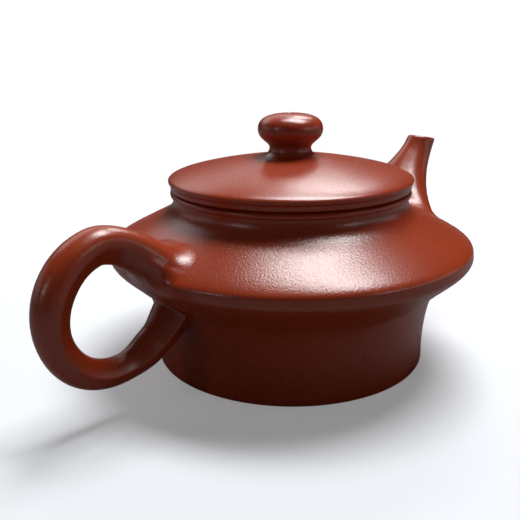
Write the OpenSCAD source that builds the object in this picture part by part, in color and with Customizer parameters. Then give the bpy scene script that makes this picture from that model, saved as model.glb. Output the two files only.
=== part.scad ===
// Round clay teapot with a waisted body, a collared mouth, a press-on domed lid,
// a bent spout and a ring handle. Millimetres, +Z up. The body's axis is Z, the
// resting face is Z = 0, the spout points along +X and the handle along -X.

/* [Body] */
// Radius of the flat base
foot_r = 36; // [34.5:0.1:37]
// Thickness of the body wall
wall = 3; // [2.5:0.1:3.3]
// Thickness of the bottom disc
base_t = 3.2; // [2.6:0.1:4]
// Height at which the waist has turned into the slanting underside
flare_z = 21.2; // [20.4:0.1:22]
// How far the waist leans out on its way up to there
flare_out = 3.6; // [3:0.1:4]
// Largest radius of the body, at the brim
brim_r = 47.6; // [46.8:0.1:48.6]
// Height of the fine edge where the brim turns into the shoulder
brim_z = 30.9; // [30.3:0.1:31.5]

/* [Neck and mouth] */
// Outside radius of the neck
neck_r = 30.6; // [29.8:0.1:31]
// Thickness of the neck wall
neck_wall = 2.8; // [2.4:0.1:3.2]
// Height of the mouth's top face, on which the lid rests
mouth_z = 45.3; // [44.6:0.1:46.4]
// Height of the bead round the mouth
bead_h = 1.8; // [1.4:0.1:2.2]
// How far the bead stands out from the neck
bead_out = 0.8; // [0.4:0.1:1.1]
// How far the neck's foot spreads over the shoulder
neck_spread = 6.9; // [6.3:0.1:7.4]
// Height of the mouth above the neck's foot
neck_h = 8.4; // [7.9:0.1:9]

/* [Lid] */
// Radial gap between the lid's flange and the neck
lid_gap = 0.25; // [0.15:0.05:0.5]
// Depth of the flange below the lid's seat
flange_depth = 9; // [6:0.5:10]
// Thickness of the flange
flange_wall = 2.4; // [1.8:0.1:3]
// Thickness of the seat ring
seat_t = 1.4; // [1.1:0.1:1.8]
// How far the lid's upper edge stands out past the bead
lid_over = 0.4; // [0:0.1:1]
// Height of the lid's edge
lid_edge_h = 3.1; // [2.8:0.1:3.6]
// Rise of the dome from its edge to its crown
lid_rise = 5.4; // [4:0.1:7]
// Thickness of the dome at its crown
lid_t = 3; // [2.4:0.1:3.6]

/* [Knob] */
// Largest radius of the knob
knob_r = 8.4; // [7:0.1:9.5]
// Radius of the knob's stem
stem_r = 5.4; // [4.8:0.1:6.4]
// Height of the knob above the crown of the dome
knob_h = 10.4; // [9:0.1:12]
// Radius of the steam vent through knob and dome
vent_r = 0.8; // [0.6:0.1:1.2]

/* [Spout] */
// Distance of the spout's lip from the body's axis
lip_x = 59.6; // [57:0.1:62]
// Height of the lip's centre
lip_z = 52.6; // [50:0.1:55]
// Tilt of the lip's face from level, down towards the front, in degrees
lip_tilt = 12; // [0:1:30]
// Outside radius of the spout at the lip
lip_r = 4.1; // [3.8:0.1:4.6]
// Bore radius of the spout at the lip
lip_bore_r = 2.6; // [2:0.1:2.9]
// How much wider than its lip the spout's root is, on each side
spout_spread = 20; // [14:0.5:22]
// How much deeper than its lip the spout's root is, above and below its centre line
spout_swell = 2.4; // [2:0.1:2.8]
// Radius of the hole through the shoulder into the spout
spout_hole_r = 3.6; // [3:0.1:3.9]

/* [Strainer] */
// Outside radius of the ball strainer
ball_r = 6.2; // [5.4:0.1:6.4]
// Thickness of the strainer
ball_t = 1.2; // [0.9:0.1:1.5]
// Radius of one strainer hole
drain_r = 0.9; // [0.6:0.1:1]
// Number of holes in the strainer's outer circle
drain_count = 6; // [4:1:7]

/* [Handle] */
// Radius of the circle that the handle's centre line follows
ring_r = 15.2; // [14.4:0.1:16]
// How much closer to that circle's centre the ring is where it turns back to the body
ring_tighter = 1; // [0:0.1:1.4]
// Distance of that circle's centre from the body's axis
ring_x = 55.2; // [54.2:0.1:56.2]
// Height of that circle's centre
ring_z = 26; // [25.2:0.1:26.8]
// Radius of the handle where it is thickest, at the top
thick_r = 4.4; // [3.8:0.1:5]
// Radius of the handle where it is thinnest, at the bottom
thin_r = 3.4; // [3:0.1:3.7]
// Radius of the handle's lower root
root_r = 5.3; // [4.6:0.1:6]
// How far the handle spreads sideways where it meets the shoulder
shoulder_root_spread = 7; // [1:0.5:9]
// How much deeper the handle's upper arm gets on its inner side, under the brim
root_keel = 1.6; // [1:0.1:3]
// How much the handle's outer side rises into a knuckle on the shoulder
root_knuckle = 1; // [0:0.1:1.4]
// How flat the handle's inner face is, from 0 for round
inner_flatness = 0.4; // [0:0.05:0.5]

/* [Hidden] */
clay = "#8c3f2a";
clay_dark = "#6e2d1e";
clay_light = "#a24c33";
round_fn = 96;
curve_steps = 10;
reach = 200;

// A cubic curve through a and d, drawn towards b and c on its way.
function curve(a, b, c, d) = [for (i = [0:curve_steps])
    let (t = i / curve_steps, u = 1 - t)
    u * u * u * a + 3 * u * u * t * b + 3 * u * t * t * c + t * t * t * d];
function unit(v) = v / norm(v);
function turned_left(v) = [-v.y, v.x];

// Outline of the body, from the foot up. Points are [radius, height], and a pull is how far
// a curve's inner point lies from its end.
foot_round = 0.7;
waist_bow = 0.3;
waist_pull = 9;
flare_pull = 3.6;
brim_turn = [2.1, 4.5];
brim_turn_pull = 2.2;
brim_side_h = 1.5;
brim_side_pull = 0.8;
brim_edge_w = 0.15;
brim_edge_h = 0.3;
shoulder_bow = [0.7, 1.5];
shoulder_lean = [-0.6, 1];
shoulder_pull = 4.9;
neck_foot_pull = 3.5;
neck_top_gap = 0.5;
neck_top_pull = [-0.1, 3.2];
flare = [foot_r + flare_out, flare_z];
under_end = [brim_r, brim_z] - brim_turn;
under_dir = unit(under_end - flare);
brim_low = [brim_r, brim_z - brim_side_h];
brim_edge = [brim_r - brim_edge_w, brim_z];
shoulder_start = brim_edge + [-brim_edge_w, brim_edge_h];
shoulder_end = [neck_r + neck_spread, mouth_z - neck_h];
shoulder_dir = unit(shoulder_end - shoulder_start - shoulder_lean);
neck_top = [neck_r, mouth_z - bead_h - neck_top_gap];
outside = concat(
    [[foot_r - foot_round, 0]],
    curve([foot_r, foot_round], [foot_r - waist_bow, waist_pull], flare - flare_pull * under_dir, flare),
    curve(under_end, under_end + brim_turn_pull * under_dir, brim_low - [0, brim_side_pull], brim_low),
    [brim_edge],
    curve(shoulder_start, [brim_r - shoulder_bow.x, brim_z + shoulder_bow.y],
        shoulder_end - shoulder_pull * shoulder_dir, shoulder_end),
    curve(shoulder_end, shoulder_end + neck_foot_pull * shoulder_dir, neck_top - neck_top_pull, neck_top),
    [[neck_r, mouth_z]]);

// Outline of the cavity, from the bottom disc up. It keeps one wall's thickness from the outside.
in_brim_bulge = 1.6;
in_neck_slope = [1.6, 1.4];
in_neck_h = 6.6;
into_wall = wall * turned_left(under_dir);
in_foot_r = foot_r - wall;
in_neck_r = neck_r - neck_wall;
in_flare = flare + into_wall;
in_under_end = under_end + into_wall;
in_brim = [brim_r - wall - brim_turn.x, brim_z + brim_edge_h];
in_shoulder = shoulder_end + wall * turned_left(shoulder_dir);
inside = concat(
    curve([in_foot_r, base_t], [in_foot_r - waist_bow, waist_pull], in_flare - flare_pull * under_dir,
        in_flare),
    curve(in_under_end, in_under_end + brim_side_pull * under_dir,
        in_brim + [in_brim_bulge, 0], in_brim),
    [in_shoulder, [in_neck_r + in_neck_slope.x, mouth_z - in_neck_h - in_neck_slope.y],
        [in_neck_r, mouth_z - in_neck_h], [in_neck_r, mouth_z]]);

wall_section = concat(outside, [for (i = [len(inside) - 1:-1:0]) inside[i]],
    [[0, base_t], [0, 0]]);

// One piece of the body's wall: the part of its section between two radii and two heights.
module wall_piece(r0, r1, z0, z1) {
    rotate_extrude($fn = round_fn)
        intersection() {
            polygon(wall_section);
            translate([r0, z0]) square([r1 - r0, z1 - z0]);
        }
}

// The body filled solid, to trim what is luted onto its outside.
module body_solid() {
    rotate_extrude($fn = round_fn) polygon(concat([[0, 0]], outside, [[0, mouth_z]]));
}

// The hollow of the body, to trim what sits inside it.
module cavity_solid() {
    rotate_extrude($fn = round_fn) polygon(concat([[0, base_t]], inside, [[0, mouth_z]]));
}

// The direction of a route at each of its points.
function headings(route) = [for (i = [0:len(route) - 1])
    unit(route[min(i + 1, len(route) - 1)] - route[max(i - 1, 0)])];

// A tube with oval rings. Route points are [x, z] in the plane Y = 0. Each ring faces one way
// in that plane. It has a radius to the left of the route, one to the right of it and one across
// the plane. A flatness above 0 makes the left half shallower, with a soft ridge along each side,
// and one below 0 makes it fuller. There is one flatness for each ring, or one for them all.
module swept_tube(route, facing, left, right, across, sides, flatness = [0]) {
    last = len(route) - 1;
    along = headings(route);
    rings = [for (i = [0:last]) for (k = [0:sides - 1])
        let (side = turned_left(facing[i]) / (along[i] * facing[i]), a = 360 * k / sides,
            lean = max(0, cos(a)), flat = flatness[min(i, len(flatness) - 1)],
            cut = sign(sin(a)) * flat * lean * (1 - lean),
            p = route[i] + (cos(a) > 0 ? left[i] : right[i]) * cos(a) * side)
        [p.x, across[i] * (sin(a) - cut), p.y]];
    skin = [for (i = [0:last - 1]) for (k = [0:sides - 1])
        let (n = (k + 1) % sides)
        [i * sides + k, i * sides + n, (i + 1) * sides + n, (i + 1) * sides + k]];
    ends = [[for (k = [sides - 1:-1:0]) k], [for (k = [0:sides - 1]) last * sides + k]];
    polyhedron(rings, concat(skin, ends), convexity = 6);
}

// The spout's centre line starts inside the shoulder, bends upwards and ends at the lip.
// Its rings widen towards the body as a horn does, and are deepest a little above the root.
brim_at = [brim_r, brim_z];
spout_root_in = [9.6, 1.4];
spout_bend_out = [2.7, 6.9];
spout_root = brim_at - spout_root_in;
spout_bend = brim_at + spout_bend_out;
spout_lip = [lip_x, lip_z];
spout_steps = 24;
lip_turn_from = 0.7;
function route_at(from, bend, to, t) = (1 - t) * (1 - t) * from + 2 * t * (1 - t) * bend + t * t * to;
function eased(u) = let (v = min(1, max(0, u))) v * v * (3 - 2 * v);
lip_facing = [sin(lip_tilt), cos(lip_tilt)];
function turned_to_lip(route, ts) = let (along = headings(route)) [for (i = [0:len(ts) - 1])
    let (w = eased((ts[i] - lip_turn_from) / (1 - lip_turn_from))) unit((1 - w) * along[i] + w * lip_facing)];
spout_t = [for (i = [0:spout_steps]) i / spout_steps];
spout_route = [for (t = spout_t) route_at(spout_root, spout_bend, spout_lip, t)];
spout_deep = [for (t = spout_t)
    lip_r + spout_swell * (eased((1 - t) / 0.62) - 0.8 * eased((0.38 - t) / 0.5))];
spout_wide = [for (t = spout_t) lip_r + spout_spread * (1 - t) * (1 - t)];

// The bore starts higher, so that it enters through the shoulder and misses the brim.
bore_root_in = [8.8, 0.9];
bore_bend_out = [0.1, 7.1];
bore_root = brim_at - bore_root_in;
bore_bend = brim_at + bore_bend_out;
bore_t = [for (i = [0:spout_steps + 1]) i / spout_steps];
bore_route = [for (t = bore_t) route_at(bore_root, bore_bend, spout_lip, t)];
bore_radius = [for (t = bore_t) lip_bore_r + (spout_hole_r - lip_bore_r) * (1 - eased((t - 0.2) / 0.6))];
bore_dir = unit(bore_bend - bore_root);
spout_hole_tilt = atan2(bore_dir.x, bore_dir.y);

// The strainer's ball is centred in the wall, where the bore crosses the shoulder's inner face,
// and its outer circle of holes lies at drain_tilt.
function cross_2d(a, b) = a.x * b.y - a.y * b.x;
function crossing(p, p_dir, q, q_dir) = p + p_dir * cross_2d(q - p, q_dir) / cross_2d(p_dir, q_dir);
ball_rise = 1.2;
drain_tilt = 34;
ball_at = crossing(bore_root, bore_dir, in_brim, in_shoulder - in_brim) + [0, ball_rise];

// The handle's centre line: in from the shoulder, round the ring, and back to the underside.
ring_top_a = 105;
ring_low_a = 305;
ring_step_a = 8;
ring_tighter_from_a = 225;
function ring_at(a) = [-ring_x, ring_z]
    + (ring_r - ring_tighter * eased((a - ring_tighter_from_a) / (ring_low_a - ring_tighter_from_a)))
        * [cos(a), sin(a)];
top_root_in = [4.4, -4.4];
top_root = [-flare.x, brim_z] + top_root_in;
top_root_pull = [-10.2, 10.2];
ring_top_pull = [4.6, 1.2];
low_root_in = [1.4, 2];
low_root = [-flare.x, flare.y] + low_root_in;
low_root_pulls = [[-5.7, -6.6], [-3.1, -3.9]];
handle_route = concat(
    curve(top_root, top_root + top_root_pull, ring_at(ring_top_a) + ring_top_pull, ring_at(ring_top_a)),
    [for (a = [ring_top_a + ring_step_a:ring_step_a:ring_low_a]) ring_at(a)],
    [for (pull = low_root_pulls) low_root + pull],
    [low_root]);
handle_last = len(handle_route) - 1;
handle_t = [for (i = [0:handle_last]) i / handle_last];
function root_flare(t) = pow(max(0, 1 - t / 0.2), 2);
handle_deep = [for (t = handle_t)
    lookup(t, [[0, thick_r], [0.2, thick_r - 0.3], [0.4, thick_r], [0.6, thick_r - 0.5],
        [0.82, thin_r], [0.93, thin_r + 0.8], [1, root_r]]) + root_flare(t)];
root_fullness = 0.8;
handle_wide = [for (i = [0:handle_last]) handle_deep[i] + shoulder_root_spread * root_flare(handle_t[i])];
handle_flatness = [for (t = handle_t) inner_flatness - min(root_fullness, 4 * root_flare(t))];
inner_share = 0.94;
arm_swell = 0.5;
function keel_at(t) = eased(t / 0.06) * pow(max(0, 1 - t / 0.18), 1.3);
handle_inner = [for (i = [0:handle_last]) let (t = handle_t[i])
    inner_share * handle_deep[i] + arm_swell * eased((0.34 - t) / 0.14) + root_keel * keel_at(t)];
handle_outer = [for (i = [0:handle_last])
    handle_deep[i] + root_knuckle * eased((0.09 - handle_t[i]) / 0.06)];

// Splits of the wall: the waist ends where it starts to flare, the collar starts on the neck's foot.
flare_start_h = 5;
collar_foot_w = 5;
waist_top_z = flare_z - flare_start_h;
collar_r = neck_r + collar_foot_w;
bead_z = mouth_z - bead_h;
bead_round = 0.3;

module base_disc() {
    color(clay_dark) wall_piece(0, reach, 0, base_t);
}

module waist_wall() {
    color(clay_dark) wall_piece(0, reach, base_t, waist_top_z);
}

module lower_bowl() {
    color(clay_dark) wall_piece(0, reach, waist_top_z, brim_z);
}

module spout_hole() {
    translate([bore_root.x, 0, bore_root.y])
        rotate([0, spout_hole_tilt, 0])
            cylinder(h = reach, r = spout_hole_r, center = true, $fn = 64);
}

module shoulder_dome() {
    color(clay) difference() {
        wall_piece(collar_r, reach, brim_z, mouth_z);
        intersection() {
            spout_hole();
            translate([0, -reach / 2, 0]) cube([reach, reach, reach]);
        }
    }
}

module neck_collar() {
    color(clay) wall_piece(0, collar_r, brim_z, bead_z);
}

module mouth_bead() {
    bead_r = neck_r + bead_out;
    mid_z = bead_z + bead_h / 2;
    color(clay_light) rotate_extrude($fn = round_fn)
        polygon(concat(
            [[in_neck_r, bead_z]],
            curve([neck_r - bead_round, bead_z], [neck_r, bead_z], [bead_r, bead_z], [bead_r, mid_z]),
            curve([bead_r, mid_z], [bead_r, mouth_z - bead_round], [bead_r - bead_round, mouth_z],
                [bead_r - 2 * bead_round, mouth_z]),
            [[in_neck_r + bead_round, mouth_z], [in_neck_r, mouth_z - bead_round]]));
}

module spout() {
    color(clay) difference() {
        swept_tube(spout_route, turned_to_lip(spout_route, spout_t), spout_deep, spout_deep, spout_wide, 28);
        swept_tube(bore_route, turned_to_lip(bore_route, bore_t), bore_radius, bore_radius, bore_radius, 20);
        body_solid();
    }
}

module drain() {
    cylinder(h = 2 * ball_r, r = drain_r, $fn = 24);
}

module strainer() {
    color(clay_dark) intersection() {
        translate([ball_at.x, 0, ball_at.y]) difference() {
            sphere(r = ball_r, $fn = 64);
            sphere(r = ball_r - ball_t, $fn = 64);
            rotate([0, spout_hole_tilt + 180, 0]) {
                drain();
                for (k = [0:drain_count - 1])
                    rotate([0, 0, k * 360 / drain_count]) rotate([0, drain_tilt, 0]) drain();
            }
        }
        cavity_solid();
    }
}

module handle() {
    color(clay) difference() {
        swept_tube(handle_route, headings(handle_route), handle_inner, handle_outer, handle_wide, 24,
            handle_flatness);
        body_solid();
    }
}

// The lid, from its seat up. It follows the mouth's bead outside and the neck's bore inside.
edge_round = 0.3;
lid_r = neck_r + bead_out + lid_over;
seat_inset = 0.5;
dome_inset = 0.6;
dome_edge_round = [0.15, 0.25];
dome_edge_low = 0.7;
under_inset = 1.5;
flange_r = in_neck_r - lid_gap;
flange_in_r = flange_r - flange_wall;
flange_low_z = mouth_z - flange_depth;
seat_r = lid_r - seat_inset;
seat_top_z = mouth_z + seat_t;
dome_edge_r = lid_r - dome_inset;
dome_edge_z = mouth_z + lid_edge_h;
crown_z = dome_edge_z + lid_rise;
dome_r = (dome_edge_r * dome_edge_r + lid_rise * lid_rise) / (2 * lid_rise);
dome_span = asin(dome_edge_r / dome_r);
under_r = flange_in_r - under_inset;
under_rise = crown_z - lid_t - seat_top_z;
under_dome_r = (under_r * under_r + under_rise * under_rise) / (2 * under_rise);
under_span = asin(under_r / under_dome_r);
function cap_arc(r, top_z, span) = [for (i = [0:curve_steps])
    let (a = span * (1 - i / curve_steps)) [r * sin(a), top_z - r + r * cos(a)]];

// The knob stands on a flat at the crown, so its foot meets the dome face to face.
knob_foot_spread = 1.8;
knob_foot_r = stem_r + knob_foot_spread;
knob_seat_z = crown_z - (dome_r - sqrt(dome_r * dome_r - knob_foot_r * knob_foot_r));
knob_top_z = crown_z + knob_h;
stem_share = 0.19;
bulge_share = 0.62;
stem_pull = [0.7, 1];
under_bulge_pull = 1.4;
bulge_pull = 2.6;
crown_share = 0.75;

module vent() {
    cylinder(h = reach, r = vent_r, $fn = 32);
}

module lid_seat() {
    color(clay_light) rotate_extrude($fn = round_fn)
        polygon([[flange_in_r, mouth_z], [seat_r - edge_round, mouth_z], [seat_r, mouth_z + edge_round],
            [seat_r, seat_top_z], [flange_in_r, seat_top_z]]);
}

module lid_dome() {
    color(clay_light) difference() {
        rotate_extrude($fn = round_fn)
            polygon(concat(
                [[0, seat_top_z], [seat_r, seat_top_z], [lid_r, dome_edge_z - dome_edge_low],
                    [lid_r, dome_edge_z] - dome_edge_round],
                cap_arc(dome_r, crown_z, dome_span)));
        rotate_extrude($fn = round_fn)
            polygon(concat([[0, mouth_z], [under_r, mouth_z]],
                cap_arc(under_dome_r, crown_z - lid_t, under_span)));
        translate([0, 0, knob_seat_z]) cylinder(h = reach, r = knob_foot_r, $fn = round_fn);
        vent();
    }
}

module lid_flange() {
    color(clay_dark) rotate_extrude($fn = round_fn)
        polygon([[flange_in_r, flange_low_z + edge_round], [flange_in_r + edge_round, flange_low_z],
            [flange_r - 2 * edge_round, flange_low_z], [flange_r, flange_low_z + 2 * edge_round],
            [flange_r, mouth_z], [flange_in_r, mouth_z]]);
}

module knob() {
    knob_full_h = knob_top_z - knob_seat_z;
    stem_z = knob_seat_z + stem_share * knob_full_h;
    bulge_z = knob_seat_z + bulge_share * knob_full_h;
    color(clay) difference() {
        rotate_extrude($fn = round_fn)
            polygon(concat(
                [[0, knob_seat_z]],
                curve([knob_foot_r, knob_seat_z], [stem_r + stem_pull.x, knob_seat_z + edge_round],
                    [stem_r, stem_z - stem_pull.y], [stem_r, stem_z]),
                curve([stem_r, stem_z], [stem_r, stem_z + under_bulge_pull],
                    [knob_r, bulge_z - bulge_pull], [knob_r, bulge_z]),
                curve([knob_r, bulge_z], [knob_r, bulge_z + bulge_pull],
                    [knob_r * crown_share, knob_top_z], [0, knob_top_z])));
        vent();
    }
}

base_disc();
waist_wall();
lower_bowl();
shoulder_dome();
neck_collar();
mouth_bead();
spout();
strainer();
handle();
lid_seat();
lid_dome();
lid_flange();
knob();
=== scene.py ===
import math

import bpy
from mathutils import Euler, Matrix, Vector


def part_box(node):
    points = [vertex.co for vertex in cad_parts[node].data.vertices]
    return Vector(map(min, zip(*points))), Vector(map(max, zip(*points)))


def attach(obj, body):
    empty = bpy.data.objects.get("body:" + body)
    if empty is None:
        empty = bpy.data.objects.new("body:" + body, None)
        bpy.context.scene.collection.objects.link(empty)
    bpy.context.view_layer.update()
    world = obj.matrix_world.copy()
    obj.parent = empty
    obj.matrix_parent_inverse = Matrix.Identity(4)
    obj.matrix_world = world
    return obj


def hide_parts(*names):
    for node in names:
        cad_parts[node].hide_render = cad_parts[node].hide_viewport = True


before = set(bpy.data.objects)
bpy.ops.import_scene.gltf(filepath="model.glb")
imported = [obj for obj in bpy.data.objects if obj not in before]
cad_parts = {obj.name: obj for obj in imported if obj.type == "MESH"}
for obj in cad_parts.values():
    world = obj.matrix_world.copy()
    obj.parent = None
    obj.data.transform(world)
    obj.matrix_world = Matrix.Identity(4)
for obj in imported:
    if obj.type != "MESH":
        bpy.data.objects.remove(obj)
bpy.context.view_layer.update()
print("frame in,", len(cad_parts), "nodes")

mm = 0.001  # lengths are in millimetres where no note says metres
fullTurn = 2 * math.pi
turnSteps = 144  # round pieces are spun in this many steps
weldReach = 0.002  # points closer than this are one point


def lowOf(node, axis):
    return round(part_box(node)[0]["xyz".index(axis)] / mm, 1)


def highOf(node, axis):
    return round(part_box(node)[1]["xyz".index(axis)] / mm, 1)


# Outlines are lists of (radius, height) in millimetres, and a bend is a curve through
# its first and last point that is drawn towards the two between.
def bend(a, b, c, d, count):
    a, b, c, d = (Vector(p) for p in (a, b, c, d))
    points = []
    for i in range(count + 1):
        t = i / count
        u = 1 - t
        points.append(u * u * u * a + 3 * u * u * t * b + 3 * u * t * t * c + t * t * t * d)
    return points


def leftOf(way):
    return Vector((-way.y, way.x))


def eased(share):
    share = min(1, max(0, share))
    return share * share * (3 - 2 * share)


def cutBetween(outline, low, high):  # the part of a rising outline between two heights
    points = []
    for a, b in zip(outline, outline[1:]):
        for level in (low, high):
            if a.y < level < b.y:
                points.append(a + (b - a) * (level - a.y) / (b.y - a.y))
    points += [p for p in outline if low <= p.y <= high]
    return sorted(points, key=lambda p: p.y)


def heightAt(outline, radius, above):  # where an outline passes a radius
    for a, b in zip(outline, outline[1:]):
        if a.y >= above and a.x > radius >= b.x:
            return a.y + (b.y - a.y) * (radius - a.x) / (b.x - a.x)


def capArc(radius, top, span, count):  # a dome's outline, from its edge to its crown
    points = []
    for i in range(count + 1):
        angle = span * (1 - i / count)
        points.append(Vector((radius * math.sin(angle), top - radius + radius * math.cos(angle))))
    return points


def deselectAll():
    if bpy.context.object and bpy.context.object.mode != "OBJECT":
        bpy.ops.object.mode_set(mode="OBJECT")
    bpy.ops.object.select_all(action="DESELECT")


def makeActive(piece):
    deselectAll()
    piece.select_set(True)
    bpy.context.view_layer.objects.active = piece


def applyModifier(piece, name, kind, **settings):
    makeActive(piece)
    modifier = piece.modifiers.new(name, kind)
    for setting, value in settings.items():
        setattr(modifier, setting, value)
    bpy.ops.object.modifier_apply(modifier=modifier.name)


def smoothShade(piece, degrees=40):
    makeActive(piece)
    bpy.ops.object.shade_smooth_by_angle(angle=math.radians(degrees))


def turnOutline(name, outline, closed=True):
    # one vertex is drawn along the outline, which is then spun
    deselectAll()
    bpy.ops.mesh.primitive_plane_add(size=mm)
    piece = bpy.context.object
    piece.name = piece.data.name = name
    bpy.ops.object.mode_set(mode="EDIT")
    bpy.ops.mesh.select_all(action="SELECT")
    bpy.ops.mesh.merge(type="CENTER")
    first = outline[0] * mm
    bpy.ops.transform.translate(value=(first.x, 0, first.y))
    path = outline + outline[:1] if closed else outline
    for a, b in zip(path, path[1:]):
        step = (b - a) * mm
        bpy.ops.mesh.extrude_vertices_move(TRANSFORM_OT_translate={"value": (step.x, 0, step.y)})
    bpy.ops.mesh.select_all(action="SELECT")
    bpy.ops.mesh.spin(steps=turnSteps, angle=fullTurn, center=(0, 0, 0), axis=(0, 0, 1))
    bpy.ops.mesh.select_all(action="SELECT")
    bpy.ops.mesh.remove_doubles(threshold=weldReach * mm)
    bpy.ops.mesh.normals_make_consistent(inside=False)
    bpy.ops.object.mode_set(mode="OBJECT")
    return piece


def rollGrid(name, lines):
    # a flat grid is rolled into a tube: each of its rows takes one line of points
    rows, stations = len(lines), len(lines[0])
    deselectAll()
    bpy.ops.mesh.primitive_grid_add(x_subdivisions=stations - 1, y_subdivisions=rows, size=1)
    piece = bpy.context.object
    piece.name = piece.data.name = name
    for vertex in piece.data.vertices:
        station = round((vertex.co.x + 0.5) * (stations - 1))
        row = round((vertex.co.y + 0.5) * rows) % rows
        vertex.co = lines[row][station] * mm
    bpy.ops.object.mode_set(mode="EDIT")
    bpy.ops.mesh.select_all(action="SELECT")
    bpy.ops.mesh.remove_doubles(threshold=weldReach * mm)
    bpy.ops.mesh.normals_make_consistent(inside=False)
    bpy.ops.object.mode_set(mode="OBJECT")
    return piece


def finishPiece(piece, body, slot, material, *nodes):
    piece.data.materials.clear()
    piece.data.materials.append(material)
    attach(piece, body)
    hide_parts(*nodes)
    print("made", piece.name, len(piece.data.polygons), "faces")


def linear(hexColour):
    parts = [int(hexColour[i:i + 2], 16) / 255 for i in (1, 3, 5)]
    return [c / 12.92 if c <= 0.04045 else ((c + 0.055) / 1.055) ** 2.4 for c in parts] + [1]


def addNode(tree, kind, inputs=None, **settings):
    node = tree.nodes.new(kind)
    for setting, value in settings.items():
        setattr(node, setting, value)
    for socket, value in (inputs or {}).items():
        if isinstance(value, bpy.types.NodeSocket):
            tree.links.new(value, node.inputs[socket])
        else:
            node.inputs[socket].default_value = value
    return node


clay = {
    "cloudSize": 18,  # of the slow change from one colour to the other
    "grainSize": 0.5,  # of the grit, which is about 0.2 and is drawn coarser so that it shows
    "ior": 1.6,
    "burnished": {"colours": ("#8e2d10", "#9e3a15"), "roughness": (0.24, 0.34), "relief": 0.052},
    "plain": {"colours": ("#6f2c1d", "#7c3422"), "roughness": (0.6, 0.75), "relief": 0.05},
}


def clayMaterial(name, colours, roughness, relief):
    material = bpy.data.materials.new(name)
    material.use_nodes = True
    tree = material.node_tree
    shader = tree.nodes["Principled BSDF"]
    place = addNode(tree, "ShaderNodeTexCoord").outputs["Object"]
    cloud = addNode(tree, "ShaderNodeTexNoise", {"Vector": place, "Detail": 4.0,
                    "Scale": 1 / (clay["cloudSize"] * mm)})
    grain = addNode(tree, "ShaderNodeTexNoise", {"Vector": place, "Detail": 2.0,
                    "Scale": 1 / (clay["grainSize"] * mm)})
    mixed = addNode(tree, "ShaderNodeMix", {"Factor": cloud.outputs["Fac"]}, data_type="RGBA")
    mixed.inputs["A"].default_value = linear(colours[0])
    mixed.inputs["B"].default_value = linear(colours[1])
    tree.links.new(mixed.outputs["Result"], shader.inputs["Base Color"])
    rough = addNode(tree, "ShaderNodeMapRange", {"Value": grain.outputs["Fac"],
                    "To Min": roughness[0], "To Max": roughness[1]})
    tree.links.new(rough.outputs["Result"], shader.inputs["Roughness"])
    bump = addNode(tree, "ShaderNodeBump", {"Height": grain.outputs["Fac"], "Strength": 1.0,
                   "Distance": relief * mm})
    tree.links.new(bump.outputs["Normal"], shader.inputs["Normal"])
    shader.inputs["IOR"].default_value = clay["ior"]
    return material


# Unglazed iron-rich stoneware, rubbed with a horn tool before it was fired: a waxy gloss that is
# broken up by a fine leathery grain, on a red that drifts a little towards orange.
burnished = clayMaterial("zisha clay, burnished", **clay["burnished"])

# The same clay where no tool reached it: dry, dull and a little browner.
plainClay = clayMaterial("zisha clay, unburnished", **clay["plain"])
print("clay mixed")

# The wall of the pot is made of rings of clay that are cut from one outline, outside and inside.
pot = {
    "footRadius": highOf("base_disc", "x"),
    "footRound": 0.7,
    "baseTop": highOf("base_disc", "z"),
    "wall": 3.0,
    "waistTop": highOf("waist_wall", "z"),
    "waistBend": Vector((-0.3, 9)),  # from the foot's edge to where the waist is drawn in
    "flareRise": 5,  # above the top of the waist
    "flareOut": 3.6,
    "flarePull": 3.6,
    "brimRadius": 47.6,
    "brimHeight": highOf("lower_bowl", "z"),
    "brimTurn": Vector((2.1, 4.5)),  # the underside turns up to the brim over this width and height
    "brimTurnPulls": (2.2, 0.8),
    "brimSide": 1.5,
    "brimEdge": Vector((0.15, 0.3)),
    "shoulderBow": Vector((-0.7, 1.5)),
    "shoulderLean": Vector((0.6, -1)),
    "shoulderPulls": (4.9, 3.5),  # below the neck's foot and above it
    "collarRadius": highOf("neck_collar", "x"),
    "neckRadius": 30.6,
    "neckWall": 2.8,
    "neckSpread": 6.9,
    "neckHeight": 8.4,
    "neckPull": Vector((0.1, -3.2)),
    "neckStraight": 0.5,
    "innerNeckBend": Vector((1.6, -8)),
    "innerNeckStraight": 6.6,
    "beadLow": lowOf("mouth_bead", "z"),
    "mouthHeight": highOf("mouth_bead", "z"),
    "beadOut": 0.8,
    "beadRound": 0.3,
    "beadTop": 1.6,  # how far the bead rounds over at the top
}

foot, brim = pot["footRadius"], Vector((pot["brimRadius"], pot["brimHeight"]))
wall, neck, mouth = pot["wall"], pot["neckRadius"], pot["mouthHeight"]
waistTop, beadLow = pot["waistTop"], pot["beadLow"]
footRound, waistBend, flarePull = pot["footRound"], pot["waistBend"], pot["flarePull"]
flare = Vector((foot + pot["flareOut"], waistTop + pot["flareRise"]))
underEnd = brim - pot["brimTurn"]
underWay = (underEnd - flare).normalized()
underPull, sidePull = pot["brimTurnPulls"]
brimLow = brim - Vector((0, pot["brimSide"]))
edgeIn, edgeUp = pot["brimEdge"]
brimEdge = brim - Vector((edgeIn, 0))
shoulderStart = brimEdge + Vector((-edgeIn, edgeUp))
shoulderEnd = Vector((neck + pot["neckSpread"], mouth - pot["neckHeight"]))
shoulderWay = (shoulderEnd - shoulderStart + pot["shoulderLean"]).normalized()
shoulderPull, footPull = pot["shoulderPulls"]
neckTop = Vector((neck, beadLow - pot["neckStraight"]))
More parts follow.
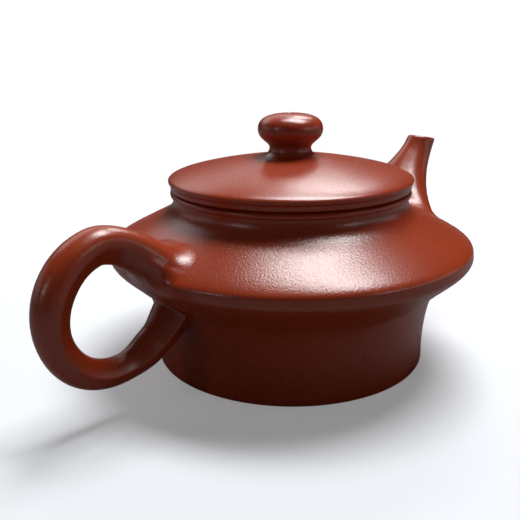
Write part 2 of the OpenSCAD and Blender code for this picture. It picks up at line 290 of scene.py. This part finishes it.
outerWall = (
    bend((foot - footRound, 0), (foot - 0.4 * footRound, 0), (foot, 0.4 * footRound),
         (foot, footRound), 4)
    + bend((foot, footRound), Vector((foot, 0)) + waistBend, flare - flarePull * underWay, flare, 26)[1:]
    + bend(underEnd, underEnd + underPull * underWay, brimLow - Vector((0, sidePull)), brimLow, 12)
    + bend(brimEdge - Vector((0, edgeUp)), brimEdge, brimEdge, shoulderStart, 3)
    + bend(shoulderStart, brim + pot["shoulderBow"], shoulderEnd - shoulderPull * shoulderWay,
           shoulderEnd, 20)[1:]
    + bend(shoulderEnd, shoulderEnd + footPull * shoulderWay, neckTop + pot["neckPull"], neckTop, 18)[1:]
    + [Vector((neck, beadLow))]
)

intoWall = wall * leftOf(underWay)
innerFoot, innerNeck = foot - wall, neck - pot["neckWall"]
innerFlare, innerUnder = flare + intoWall, underEnd + intoWall
innerBrim = brim + Vector((-wall - pot["brimTurn"].x, edgeUp))
innerShoulder = shoulderEnd + wall * leftOf(shoulderWay)
innerWall = (
    bend((innerFoot, pot["baseTop"]), Vector((innerFoot, 0)) + waistBend,
         innerFlare - flarePull * underWay, innerFlare, 16)
    + bend(innerUnder, innerUnder + sidePull * underWay, innerBrim + Vector((2 * sidePull, 0)),
           innerBrim, 8)
    + [innerShoulder, Vector((innerNeck, mouth)) + pot["innerNeckBend"],
       Vector((innerNeck, mouth - pot["innerNeckStraight"])), Vector((innerNeck, mouth))]
)
collarOuter = heightAt(outerWall, pot["collarRadius"], brim.y)
collarInner = heightAt(innerWall, pot["collarRadius"], brim.y)

# The whole outside in one skin lends its facing to the rings, so that no joint shows between them.
wallForm = turnOutline("wallForm", outerWall, closed=False)
smoothShade(wallForm, 60)


def seamless(piece, reach):  # for the corners that lie this near the skin
    applyModifier(piece, "seamless joint", "DATA_TRANSFER", object=wallForm, use_loop_data=True,
                  data_types_loops={"CUSTOM_NORMAL"}, loop_mapping="POLYINTERP_NEAREST",
                  use_max_distance=True, max_distance=reach * mm)


def wallRing(name, outerLow, outerHigh, innerLow, innerHigh):
    outside = cutBetween(outerWall, outerLow, outerHigh)
    inside = cutBetween(innerWall, innerLow, innerHigh)
    piece = turnOutline(name, outside + inside[::-1])
    smoothShade(piece)
    return piece


baseOutline = cutBetween(outerWall, 0, pot["baseTop"])
baseDisc = turnOutline("baseDisc", [Vector((0, 0))] + baseOutline + [Vector((0, pot["baseTop"]))])
smoothShade(baseDisc)
waistWall = wallRing("waistWall", pot["baseTop"], waistTop, pot["baseTop"], waistTop)
lowerBowl = wallRing("lowerBowl", waistTop, brim.y, waistTop, brim.y)
shoulderDome = wallRing("shoulderDome", brim.y, collarOuter, brim.y, collarInner)
neckCollar = wallRing("neckCollar", collarOuter, beadLow, collarInner, beadLow)

beadRadius, beadMid = neck + pot["beadOut"], (beadLow + mouth) / 2
beadRound, beadTop = pot["beadRound"], pot["beadTop"]
beadShoulder = Vector((beadRadius - 2 * beadRound, mouth - beadRound))
mouthBead = turnOutline("mouthBead", (
    [Vector((innerNeck, beadLow))]
    + bend((neck - beadRound, beadLow), (neck, beadLow), (beadRadius, beadLow), (beadRadius, beadMid), 6)
    + bend((beadRadius, beadMid), (beadRadius, beadShoulder.y), beadShoulder,
           (beadRadius - beadTop, mouth), 8)[1:]
    + [Vector((innerNeck + beadRound, mouth)), Vector((innerNeck, mouth - beadRound))]))
smoothShade(mouthBead)
print("wall turned")

# The spout and the handle are rolled rods that are pressed on to the wall, with a fillet of clay round
# each joint; a line of points runs along the rod at each angle round it, from just inside the wall.
joint = {
    "steps": 40,  # tried on the way into the wall, and the last one is halved this often
    "halvings": 14,
    "fine": 0.002,  # share of a tube that the fillet is measured in
    "leastSlope": 0.35,  # where a tube runs along the wall its fillet grows no longer than this allows
    "pull": 0.6,  # share of its length by which a fillet is drawn into the corner
    "buried": 0.6,
}


def standOff(point):
    # how far a point stands off the wall, the wall's nearest point and the way the wall faces there
    radius = math.hypot(point.x, point.y)
    here = Vector((radius, point.z))
    outward, up = Vector((point.x, point.y, 0)) / radius, Vector((0, 0, 1))
    nearest = None
    for a, b in zip(outerWall, outerWall[1:]):
        along = b - a
        share = min(1, max(0, (here - a).dot(along) / along.length_squared))
        spot = a + share * along
        away = (here - spot).length
        if nearest is None or away < nearest[0]:
            nearest = (away, spot, -leftOf(along).normalized())
    away, spot, facing = nearest
    side = 1 if (here - spot).dot(facing) > 0 else -1
    return side * away, outward * spot.x + up * spot.y, outward * facing.x + up * facing.y


def rootShare(pointAt, angle, free, buried):  # where a tube's line goes into the wall
    step = (buried - free) / joint["steps"]
    share = free
    while standOff(pointAt(share, angle))[0] > 0:
        share += step
    low, high = share - step, share
    for halving in range(joint["halvings"]):
        middle = (low + high) / 2
        if standOff(pointAt(middle, angle))[0] > 0:
            low = middle
        else:
            high = middle
    return low


def rootFillet(pointAt, centreAt, angle, free, buried, reach, count):
    # a smoothed clay joint: a line of points from the wall up to the tube, and the share it ends at
    root = rootShare(pointAt, angle, free, buried)
    small = (free - buried) * joint["fine"]
    meet, inward = pointAt(root, angle), pointAt(root, angle) - pointAt(root + small * 5, angle)
    facing = standOff(meet)[2]
    down = inward.normalized()
    length = reach / max(joint["leastSlope"], -down.dot(facing))
    share = root
    while (pointAt(share, angle) - meet).length < length:
        share += small
    start = pointAt(share, angle)
    down = (pointAt(share - small, angle) - start).normalized()
    outward = (meet - centreAt(root)).normalized() + down
    outward = (outward - outward.dot(facing) * facing).normalized()
    end, endFacing = standOff(meet + outward * length)[1:]
    outward = (outward - outward.dot(endFacing) * endFacing).normalized()
    pull = length * joint["pull"]
    line = bend(end, end - outward * pull, start + down * pull, start, count)
    return line, share, endFacing


spout = {
    "root": brim - Vector((9.6, 1.4)),
    "bend": brim + Vector((2.7, 6.9)),
    "lip": Vector((59.6, 52.6)),
    "lipRadius": 4.1,
    "lipTilt": math.radians(12),
    "lipTurnFrom": 0.7,  # shares are counted from the root
    "lipRoundFrom": 0.955,
    "spread": 20,  # of the horn across its root
    "swell": 2.4,  # of the horn's depth, which is largest a little above the root
    "swellOver": 0.62,
    "swellLoss": 0.8,
    "lossFrom": 0.38,
    "lossOver": 0.5,
    "fillet": (0.9, 1.5),  # at the outer side, and what the inner side has more
    "clearFrom": 0.8,  # here the spout is clear of the wall on every side
    "boreRoot": brim - Vector((8.8, 0.9)),
    "boreBend": brim + Vector((0.1, 7.1)),
    "boreRadius": 2.6,
    "boreRoundFrom": 0.975,
    "boreClearFrom": 0.7,
    "holeRadius": 3.6,
    "holeTo": 0.2,  # from here the bore narrows
    "narrowOver": 0.6,
    "cutterMiddle": Vector((2, 2)),
    "cutterDepth": 14,
    "rows": 96,
}


def routeAt(start, middle, end, t):
    centre = (1 - t) ** 2 * start + 2 * t * (1 - t) * middle + t * t * end
    way = (1 - t) * (middle - start) + t * (end - middle)
    return centre, way.normalized()


def ringPoint(centre, way, facing, deep, wide, angle, flatness=0):
    side = leftOf(facing) / way.dot(facing)
    share, across = math.cos(angle), math.sin(angle)
    if share > 0:
        across = math.copysign(abs(across) - flatness * share * (1 - share), across)
    point = centre + deep * share * side
    return Vector((point.x, wide * across, point.y))


def turnedToLip(way, t):
    lipFacing = Vector((math.sin(spout["lipTilt"]), math.cos(spout["lipTilt"])))
    share = eased((t - spout["lipTurnFrom"]) / (1 - spout["lipTurnFrom"]))
    return ((1 - share) * way + share * lipFacing).normalized()


def spoutCentre(t):
    centre = routeAt(spout["root"], spout["bend"], spout["lip"], t)[0]
    return Vector((centre.x, 0, centre.y))


def spoutPoint(t, angle):
    centre, way = routeAt(spout["root"], spout["bend"], spout["lip"], t)
    loss = spout["swellLoss"] * eased((spout["lossFrom"] - t) / spout["lossOver"])
    deep = spout["lipRadius"] + spout["swell"] * (eased((1 - t) / spout["swellOver"]) - loss)
    wide = spout["lipRadius"] + spout["spread"] * (1 - t) ** 2
    return ringPoint(centre, way, turnedToLip(way, t), deep, wide, angle)


def borePoint(t, angle):
    centre, way = routeAt(spout["boreRoot"], spout["boreBend"], spout["lip"], t)
    narrowed = eased((t - spout["holeTo"]) / spout["narrowOver"])
    radius = spout["boreRadius"] + (spout["holeRadius"] - spout["boreRadius"]) * (1 - narrowed)
    return ringPoint(centre, way, turnedToLip(way, t), radius, radius, angle)


def spoutLine(angle):
    # from the wall up the outside, over the lip, down the bore and back under the joint
    outerFillet, innerFillet = spout["fillet"]
    reach = outerFillet + innerFillet * (1 + math.cos(angle)) / 2
    fillet, free, facing = rootFillet(spoutPoint, spoutCentre, angle, spout["clearFrom"], 0.0, reach, 9)
    roundFrom, boreFrom = spout["lipRoundFrom"], spout["boreRoundFrom"]
    outside = [spoutPoint(free + (roundFrom - free) * i / 34, angle) for i in range(1, 35)]
    lipOut, lipIn = spoutPoint(1, angle), borePoint(1, angle)
    lipMid = lipOut.lerp(lipIn, 0.45)
    boreTop = borePoint(boreFrom, angle)
    rounding = bend(outside[-1], lipOut.lerp(outside[-1], 0.15), lipOut.lerp(lipMid, 0.3), lipMid, 7)[1:]
    rounding += bend(lipMid, lipIn.lerp(lipMid, 0.3), lipIn.lerp(boreTop, 0.3), boreTop, 5)[1:]
    boreEnd = rootShare(borePoint, angle, spout["boreClearFrom"], 0.0)
    inside = [borePoint(boreFrom + (boreEnd - boreFrom) * i / 16, angle) for i in range(1, 17)]
    return fillet + outside + rounding + inside + [fillet[0] - facing * joint["buried"], fillet[0]]


spoutLines = [spoutLine(fullTurn * row / spout["rows"]) for row in range(spout["rows"])]
spoutPiece = rollGrid("spout", spoutLines)
smoothShade(spoutPiece, 50)
print("spout rolled")

handle = {
    "ringCentre": Vector((-55.2, 26)),
    "ringRadius": 15.2,
    "ringFrom": 105,  # degrees round the ring, from its top to where it turns back to the pot
    "ringTo": 305,
    "ringStep": 8,
    "tighter": 1,  # the ring draws in by this much from the next angle on
    "tighterFrom": 225,
    "topRoot": Vector((-flare.x + 4.4, brim.y - 4.4)),
    "topRootPull": Vector((-10.2, 10.2)),
    "ringTopPull": Vector((4.6, 1.2)),
    "lowRoot": Vector((-flare.x + 1.4, flare.y + 2)),
    "lowRootPulls": (Vector((-5.7, -6.6)), Vector((-3.1, -3.9))),
    "thickness": ((0, 4.4), (0.2, 4.1), (0.4, 4.4), (0.6, 3.9), (0.82, 3.4), (0.93, 4.2), (1, 5.3)),
    "flareTo": 0.2,  # shares are counted from the upper root
    "spread": 7,
    "innerShare": 0.94,  # the inner side is shallower than the outer one
    "swell": 0.5,
    "swellTo": 0.34,
    "swellOver": 0.14,
    "keel": 1.6,  # the ridge under the arm, next to the wall
    "keelFrom": 0.06,
    "keelTo": 0.18,
    "knuckle": 1.0,  # the lump on top, where the arm meets the shoulder
    "knuckleTo": 0.09,
    "knuckleOver": 0.06,
    "outerFlatness": 0.38,
    "flatFrom": 0.08,
    "flatTo": 0.46,
    "innerFlatness": 0.4,
    "rootFullness": 0.8,
    "topFillet": 2.8,
    "topClearFrom": 0.4,  # between these the handle is clear of the wall on every side
    "lowFillet": 0.8,
    "lowClearFrom": 0.6,
    "rows": 72,
    "stations": 110,
}


def ringAt(degrees):
    angle = math.radians(degrees)
    drawnIn = eased((degrees - handle["tighterFrom"]) / (handle["ringTo"] - handle["tighterFrom"]))
    radius = handle["ringRadius"] - handle["tighter"] * drawnIn
    return handle["ringCentre"] + radius * Vector((math.cos(angle), math.sin(angle)))


ringStart = ringAt(handle["ringFrom"])
handleRoute = bend(handle["topRoot"], handle["topRoot"] + handle["topRootPull"],
                   ringStart + handle["ringTopPull"], ringStart, 10)
handleRoute += [ringAt(a) for a in range(handle["ringFrom"] + handle["ringStep"],
                                         handle["ringTo"] + 1, handle["ringStep"])]
handleRoute += [handle["lowRoot"] + pull for pull in handle["lowRootPulls"]] + [handle["lowRoot"]]


def through(points, t):  # a smooth curve through evenly spaced points
    place = min(max(t, 0), 1) * (len(points) - 1)
    i = min(int(place), len(points) - 2)
    f = place - i
    p0, p1, p2, p3 = (points[min(max(j, 0), len(points) - 1)] for j in (i - 1, i, i + 1, i + 2))
    return 0.5 * (2 * p1 + (p2 - p0) * f + (2 * p0 - 5 * p1 + 4 * p2 - p3) * f * f
                  + (3 * p1 - p0 - 3 * p2 + p3) * f ** 3)


def thicknessAt(t):
    marks = handle["thickness"]
    for (t0, r0), (t1, r1) in zip(marks, marks[1:]):
        if t <= t1:
            return r0 + (r1 - r0) * eased((t - t0) / (t1 - t0))
    return marks[-1][1]


def handleCentre(t):
    centre = through(handleRoute, t)
    return Vector((centre.x, 0, centre.y))


def handlePoint(t, angle):
    centre = through(handleRoute, t)
    way = (through(handleRoute, t + 0.004) - through(handleRoute, t - 0.004)).normalized()
    rootFlare = max(0, 1 - t / handle["flareTo"]) ** 2
    deep = thicknessAt(t) + rootFlare
    wide = deep + handle["spread"] * rootFlare
    if math.cos(angle) > 0:
        keel = handle["keel"] * eased(t / handle["keelFrom"]) * max(0, 1 - t / handle["keelTo"]) ** 1.3
        swell = handle["swell"] * eased((handle["swellTo"] - t) / handle["swellOver"])
        deep = handle["innerShare"] * deep + swell + keel
    else:
        deep += handle["knuckle"] * eased((handle["knuckleTo"] - t) / handle["knuckleOver"])
        flat = eased((handle["flatTo"] - t) / (2 * handle["flatFrom"]))
        flat *= eased(t / handle["flatFrom"] - 1)
        deep *= max(-math.cos(angle), 0.001) ** (-handle["outerFlatness"] * flat)
    flatness = handle["innerFlatness"] - min(handle["rootFullness"], 4 * rootFlare)
    return ringPoint(centre, way, way, deep, wide, angle, flatness)


def handleLine(angle):  # from inside the shoulder, along the ring, to inside the underside
    top, topFree, topFacing = rootFillet(handlePoint, handleCentre, angle, handle["topClearFrom"], 0.0,
                                         handle["topFillet"], 12)
    low, lowFree, lowFacing = rootFillet(handlePoint, handleCentre, angle, handle["lowClearFrom"], 1.0,
                                         handle["lowFillet"], 6)
    step = (lowFree - topFree) / handle["stations"]
    between = [handlePoint(topFree + step * i, angle) for i in range(1, handle["stations"])]
    topEnd, lowEnd = top[0] - topFacing * joint["buried"], low[0] - lowFacing * joint["buried"]
    return [topEnd] + top + between + low[::-1] + [lowEnd]


handleLines = [handleLine(fullTurn * row / handle["rows"]) for row in range(handle["rows"])]
handlePiece = rollGrid("handle", handleLines)
makeActive(handlePiece)
bpy.ops.object.mode_set(mode="EDIT")
bpy.ops.mesh.select_all(action="DESELECT")
bpy.ops.mesh.select_non_manifold(extend=False)
bpy.ops.mesh.edge_face_add()
bpy.ops.object.mode_set(mode="OBJECT")
smoothShade(handlePiece, 50)
print("handle rolled")

# The hole behind the spout, and the pierced ball of clay that strains the tea in front of it.
boreWay = (spout["boreBend"] - spout["boreRoot"]).normalized()
cutterAt = spout["boreRoot"] + spout["cutterMiddle"]
deselectAll()
bpy.ops.mesh.primitive_cylinder_add(vertices=48, radius=spout["holeRadius"] * mm,
                                    depth=spout["cutterDepth"] * mm,
                                    location=Vector((cutterAt.x, 0, cutterAt.y)) * mm,
                                    rotation=(0, math.atan2(boreWay.x, boreWay.y), 0))
holeCutter = bpy.context.object
for piece in (shoulderDome, lowerBowl):
    applyModifier(piece, "spout hole", "BOOLEAN", object=holeCutter, operation="DIFFERENCE",
                  solver="EXACT")
bpy.data.objects.remove(holeCutter)

deselectAll()
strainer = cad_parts["strainer"].copy()
strainer.data = strainer.data.copy()
strainer.name = strainer.data.name = "strainerBall"
strainer.parent = None
for key in list(strainer.keys()):
    del strainer[key]
bpy.context.scene.collection.objects.link(strainer)
makeActive(strainer)
bpy.ops.object.mode_set(mode="EDIT")
bpy.ops.mesh.select_all(action="SELECT")
bpy.ops.mesh.remove_doubles(threshold=weldReach * mm)
bpy.ops.object.mode_set(mode="OBJECT")
smoothShade(strainer, 35)

for piece, node in ((baseDisc, "base_disc"), (waistWall, "waist_wall"), (lowerBowl, "lower_bowl"),
                    (shoulderDome, "shoulder_dome"), (neckCollar, "neck_collar"),
                    (mouthBead, "mouth_bead")):
    if piece is not mouthBead:
        seamless(piece, 0.02)
    finishPiece(piece, "pot", "pot_clay", burnished, node)
seamless(spoutPiece, 0.04)
seamless(handlePiece, 0.04)
finishPiece(spoutPiece, "pot", "pot_clay", burnished, "spout")
finishPiece(handlePiece, "pot", "pot_clay", burnished, "handle")
finishPiece(strainer, "pot", "inner_clay", plainClay, "strainer")

lid = {
    "radius": 31.8,
    "seatInset": 0.5,
    "edgeInset": 0.6,
    "edgeHeight": 3.1,
    "rise": 5.4,
    "thickness": 3,
    "rimDrop": 0.5,  # of the crisp rim below the height at which the dome starts to round over
    "rimBelow": Vector((0, -0.15)),  # the rim's rounding starts and ends here, from its corner
    "rimAbove": Vector((-0.1, 0.12)),
    "edgePulls": (Vector((0.25, 0.25)), Vector((0, -0.7))),
    "domePulls": (Vector((-1.1, 2.4)), Vector((2, 0))),
    "crownLift": 0.6,  # of the curve that the dome follows, under the knob
    "underInset": 1.5,
    "gap": 0.25,
    "flangeWall": 2.4,
    "seatTop": highOf("lid_seat", "z"),
    "seatRounding": ((1.6, 0), (0.5, 0.14), (0.14, 0.3), (0, 0.6)),  # in from the edge, up from the mouth
    "flangeLow": lowOf("lid_flange", "z"),
    "flangeInside": ((0, 0.3), (0.09, 0.08), (0.3, 0)),  # off the inner wall, up from the lower end
    "flangeOutside": ((0.6, 0), (0.18, 0.16), (0, 0.6)),
    "ventRadius": 0.8,
}
lidRadius, ventRadius = lid["radius"], lid["ventRadius"]
seatTop, flangeLow = lid["seatTop"], lid["flangeLow"]
seatRadius, flangeRadius = lidRadius - lid["seatInset"], innerNeck - lid["gap"]
flangeInner = flangeRadius - lid["flangeWall"]
domeEdge = Vector((lidRadius - lid["edgeInset"], mouth + lid["edgeHeight"]))
crown = domeEdge.y + lid["rise"]
underTop, underEdge = crown - lid["thickness"], flangeInner - lid["underInset"]
underRise = underTop - seatTop
underRadius = (underEdge ** 2 + underRise ** 2) / (2 * underRise)
underSpan = math.asin(underEdge / underRadius)

knob = {
    "radius": 8.4,
    "stemRadius": 5.4,
    "height": 10.4,
    "footSpread": 1.8,  # where the stem meets the lid, wider than the stem by this
    "footPulls": (Vector((-1.1, 0.12)), Vector((0, -1))),
    "stemShare": 0.19,  # of the height, from the lid up: the waist, and the fullest ring
    "bulgeShare": 0.62,
    "stemPull": 1.4,
    "bulgePull": 2.6,
    "crownShare": 0.75,
    "ventInset": 0.3,
    "ventEdge": ((0.25, 0.03), (0, 0.3)),
}
knobFoot = knob["stemRadius"] + knob["footSpread"]

domeRim = Vector((lidRadius, domeEdge.y - lid["rimDrop"]))
domeTop = Vector((0, crown + lid["crownLift"]))
rimLow, rimHigh = domeRim + lid["rimBelow"], domeRim + lid["rimAbove"]
edgePull, rimPull = lid["edgePulls"]
risePull, crownPull = lid["domePulls"]
domeCurve = bend(rimLow, domeRim, domeRim, rimHigh, 4)
domeCurve += bend(rimHigh, domeRim + risePull, domeTop + crownPull, domeTop, 60)[1:]
knobSeat = heightAt(domeCurve, knobFoot, domeRim.y)
seatCorner = Vector((seatRadius, seatTop))
domeOutline = [seatCorner] + bend(seatCorner, seatCorner + edgePull, domeRim + rimPull, rimLow, 8)[1:-1]
domeOutline += [p for p in domeCurve if p.x > knobFoot + 0.1]
domeOutline += [Vector((knobFoot, knobSeat)), Vector((ventRadius, knobSeat))]
domeOutline += [p for p in capArc(underRadius, underTop, underSpan, 24) if p.x > ventRadius][::-1]
lidDome = turnOutline("lidDome", domeOutline)
smoothShade(lidDome, 35)
finishPiece(lidDome, "lid", "lid_clay", burnished, "lid_dome")

seatOutline = [Vector((flangeInner, mouth))]
seatOutline += [Vector((seatRadius - inset, mouth + up)) for inset, up in lid["seatRounding"]]
seatOutline += [seatCorner, Vector((flangeInner, seatTop))]
lidSeat = turnOutline("lidSeat", seatOutline)
smoothShade(lidSeat)
finishPiece(lidSeat, "lid", "lid_clay", burnished, "lid_seat")

flangeOutline = [Vector((flangeInner + off, flangeLow + up)) for off, up in lid["flangeInside"]]
flangeOutline += [Vector((flangeRadius - off, flangeLow + up)) for off, up in lid["flangeOutside"]]
flangeOutline += [Vector((flangeRadius, mouth)), Vector((flangeInner, mouth))]
lidFlange = turnOutline("lidFlange", flangeOutline)
smoothShade(lidFlange)
finishPiece(lidFlange, "lid", "inner_clay", plainClay, "lid_flange")
print("lid turned")

knobTop = crown + knob["height"]
footEnd = Vector((knobFoot, knobSeat))
waist = Vector((knob["stemRadius"], knobSeat + knob["stemShare"] * (knobTop - knobSeat)))
fullest = Vector((knob["radius"], knobSeat + knob["bulgeShare"] * (knobTop - knobSeat)))
spreadPull, waistPull = knob["footPulls"]
stemPull, bulgePull = Vector((0, knob["stemPull"])), Vector((0, knob["bulgePull"]))
knobOutline = bend(footEnd, footEnd + spreadPull, waist + waistPull, waist, 10)
knobOutline += bend(waist, waist + stemPull, fullest - bulgePull, fullest, 14)[1:]
crownEnd = (knob["radius"] * knob["crownShare"], knobTop)
overTop = bend(fullest, fullest + bulgePull, crownEnd, (0, knobTop), 24)
knobOutline += [p for p in overTop[1:] if p.x > ventRadius + knob["ventInset"]]
knobOutline += [Vector((ventRadius + off, knobTop - down)) for off, down in knob["ventEdge"]]
knobOutline += [Vector((ventRadius, knobSeat))]
knobPiece = turnOutline("knob", knobOutline)
smoothShade(knobPiece, 50)
finishPiece(knobPiece, "lid", "lid_clay", burnished, "knob")
print("knob turned")

view = {
    "spot": Vector((-131.08, -126.59, 81.39)) * mm,
    "way": Vector((0.6569, 0.6935, -0.2960)),
    "roll": -0.00924,
    "lens": 48.6,
    "sensorWidth": 36,
    "clipStart": 0.01,  # metres
}
cameraData = bpy.data.cameras.new("camera")
cameraData.lens = view["lens"]
cameraData.sensor_width = view["sensorWidth"]
cameraData.clip_start = view["clipStart"]
camera = bpy.data.objects.new("camera", cameraData)
bpy.context.scene.collection.objects.link(camera)
camera.location = view["spot"]
turn = view["way"].to_track_quat("-Z", "Y").to_matrix() @ Euler((0, 0, view["roll"])).to_matrix()
camera.rotation_euler = turn.to_euler()
bpy.context.scene.camera = camera

cameraSide = math.atan2(view["spot"].y, view["spot"].x)

# Each lamp has its power in watts, the size of its panel, the degrees it stands round from the camera's
# side, anticlockwise from above, the degrees it stands up from the floor, and its distance. Metres.
lamps = {
    "key above": (8, (0.5, 0.28), 146, 71, 0.8),
    "key behind": (1.2, (0.22, 0.11), 169, 41, 0.8),
    "window behind": (1.0, (0.6, 0.4), 222, 34, 1.0),
    "pale wall, right": (0.6, (0.9, 0.35), 95, 12, 1.1),
    "pale wall, left": (0.5, (0.9, 0.35), 262, 12, 1.1),
    "pale wall behind": (0.2, (0.3, 0.16), 192, 29, 0.8),
    "small lamp, left": (0.3, (0.1, 0.1), 312, 20, 0.9),
    "small lamp, right": (0.3, (0.1, 0.1), 60, 18, 0.9),
}
aimHeight = 0.03  # metres above the floor, where all of them point


def softbox(name, power, size, aside, up, distance):
    heading, height = cameraSide + math.radians(aside), math.radians(up)
    way = Vector((math.cos(height) * math.cos(heading), math.cos(height) * math.sin(heading),
                  math.sin(height)))
    data = bpy.data.lights.new(name, "AREA")
    data.shape = "RECTANGLE"
    data.size, data.size_y = size
    data.energy = power
    lamp = bpy.data.objects.new(name, data)
    bpy.context.scene.collection.objects.link(lamp)
    lamp.location = distance * way + Vector((0, 0, aimHeight))
    lamp.rotation_euler = (-way).to_track_quat("-Z", "Y").to_euler()


for name, settings in lamps.items():
    softbox(name, *settings)
print("camera and lamps set")

# The floor is a pale sheet that is lit round the teapot and runs out into plain white; what the clay
# mirrors and the light it gets back come from a darker grey.
ground = {
    "size": 6,  # metres
    "paint": "#e3e7ed",
    "bounce": "#7c7c7e",
    "litTo": 0.16,  # metres from the middle of the base, as is the next one
    "whiteFrom": 0.36,
    "nearWhite": 0.22,
    "farWhite": 1.0,
}
deselectAll()
bpy.ops.mesh.primitive_plane_add(size=ground["size"], location=(0, 0, 0))
floor = bpy.context.object
floor.name = "floor"
floorPaint = bpy.data.materials.new("floor")
floorPaint.use_nodes = True
tree = floorPaint.node_tree
ray = addNode(tree, "ShaderNodeLightPath")
paint = tree.nodes["Principled BSDF"]
paint.inputs["Base Color"].default_value = linear(ground["paint"])
paint.inputs["Roughness"].default_value = 1.0
paint.inputs["Specular IOR Level"].default_value = 0.0
glow = addNode(tree, "ShaderNodeEmission", {"Color": (1, 1, 1, 1), "Strength": 1.0})
place = addNode(tree, "ShaderNodeTexCoord").outputs["Object"]
away = addNode(tree, "ShaderNodeVectorMath", {"Vector": place}, operation="LENGTH")
share = addNode(tree, "ShaderNodeMapRange", {
    "Value": away.outputs["Value"], "From Min": ground["litTo"], "From Max": ground["whiteFrom"],
    "To Min": ground["nearWhite"], "To Max": ground["farWhite"]}, interpolation_type="SMOOTHSTEP")
lit = addNode(tree, "ShaderNodeMixShader", {0: share.outputs["Result"], 1: paint.outputs["BSDF"],
              2: glow.outputs["Emission"]})
bounce = addNode(tree, "ShaderNodeBsdfDiffuse", {"Color": linear(ground["bounce"])})
seen = addNode(tree, "ShaderNodeMixShader", {0: ray.outputs["Is Camera Ray"], 1: bounce.outputs["BSDF"],
               2: lit.outputs["Shader"]})
tree.links.new(seen.outputs["Shader"], tree.nodes["Material Output"].inputs["Surface"])
floor.data.materials.append(floorPaint)

# The camera sees white all round; the clay mirrors a dark room and is lit by a faint one.
sky = {"seen": 1.0, "light": 0.06, "mirrored": 0.03}
world = bpy.data.worlds.new("studio")
bpy.context.scene.world = world
world.use_nodes = True
tree = world.node_tree
ray = addNode(tree, "ShaderNodeLightPath")
grey = {use: addNode(tree, "ShaderNodeBackground", {"Color": (1, 1, 1, 1), "Strength": strength})
        for use, strength in sky.items()}
unseen = addNode(tree, "ShaderNodeMixShader", {
    0: ray.outputs["Is Glossy Ray"], 1: grey["light"].outputs["Background"],
    2: grey["mirrored"].outputs["Background"]})
whole = addNode(tree, "ShaderNodeMixShader", {
    0: ray.outputs["Is Camera Ray"], 1: unseen.outputs["Shader"], 2: grey["seen"].outputs["Background"]})
tree.links.new(whole.outputs["Shader"], tree.nodes["World Output"].inputs["Surface"])
print("floor and world set")

bpy.data.objects.remove(wallForm)
bpy.context.scene.view_settings.view_transform = "Standard"
